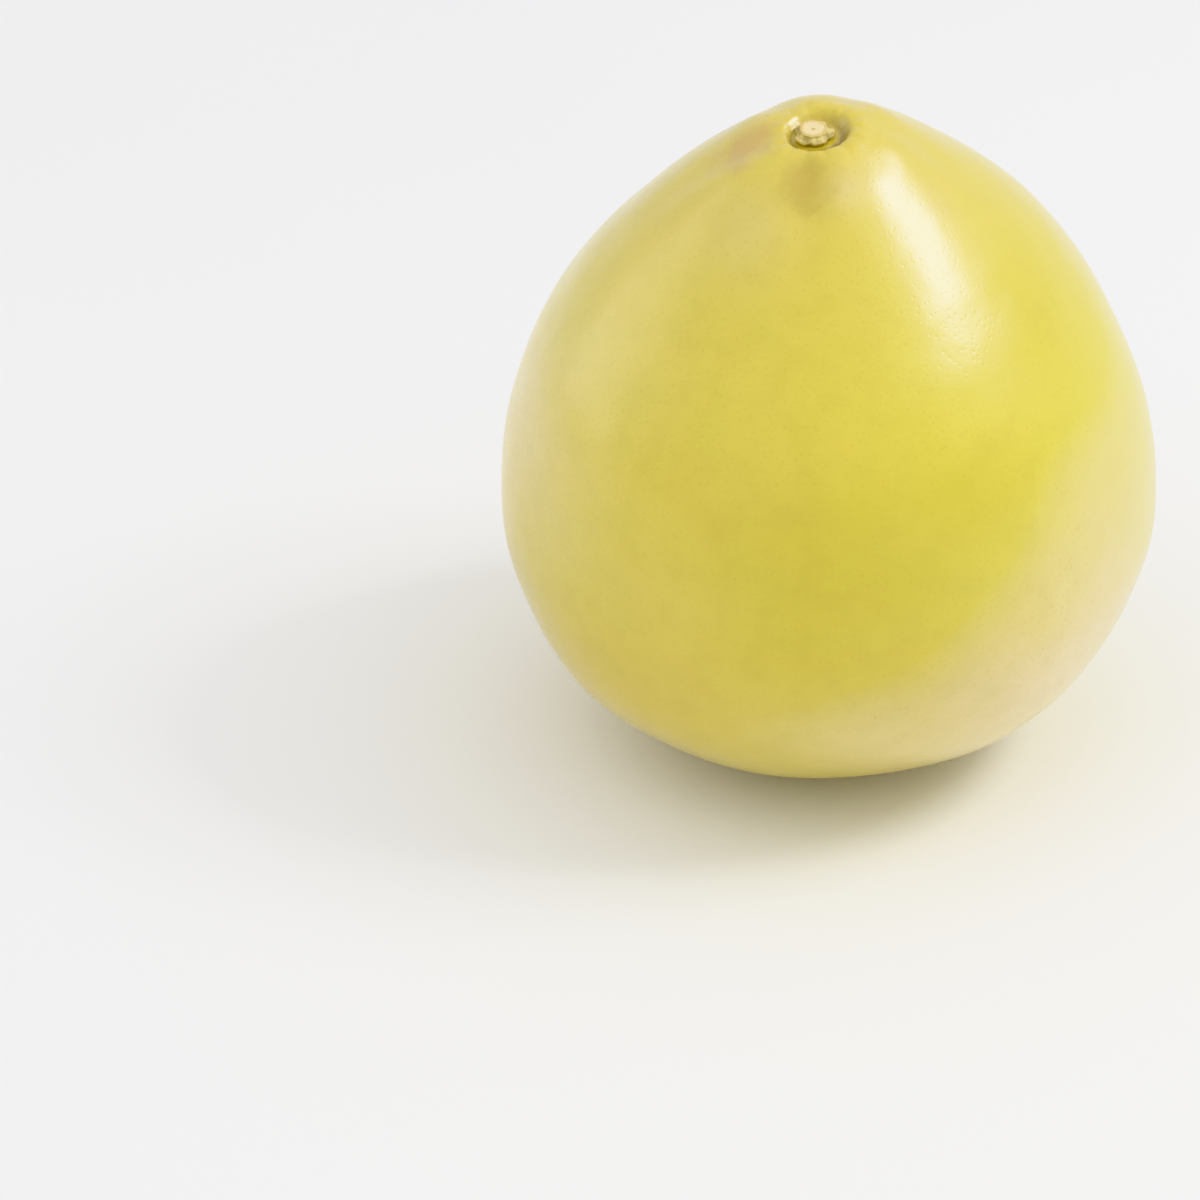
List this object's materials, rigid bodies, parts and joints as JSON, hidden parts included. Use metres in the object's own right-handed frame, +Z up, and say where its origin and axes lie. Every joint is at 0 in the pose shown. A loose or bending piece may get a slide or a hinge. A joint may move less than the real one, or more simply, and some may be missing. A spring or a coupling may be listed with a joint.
{
  "type": "pomelo",
  "caption": "Whole ripe pomelo with a broad low belt, straight tapering shoulders, a flattened furrowed crown that leans slightly to its front and a clipped stem, standing on a small flat at its blossom end.",
  "frame": {"origin": "On the surface that the pomelo rests on, under the middle of its box.", "axes": "+Z runs up from the blossom end to the stem end, -Y is the front, +X is to the right of the front."},
  "size_m": [0.1551, 0.1534, 0.1654],
  "materials": {
    "rind": "satin",
    "stem": "matte"
  },
  "bodies": {
    "root": {"fruit": "rind", "stem_button": "stem"}
  },
  "joints": []
}
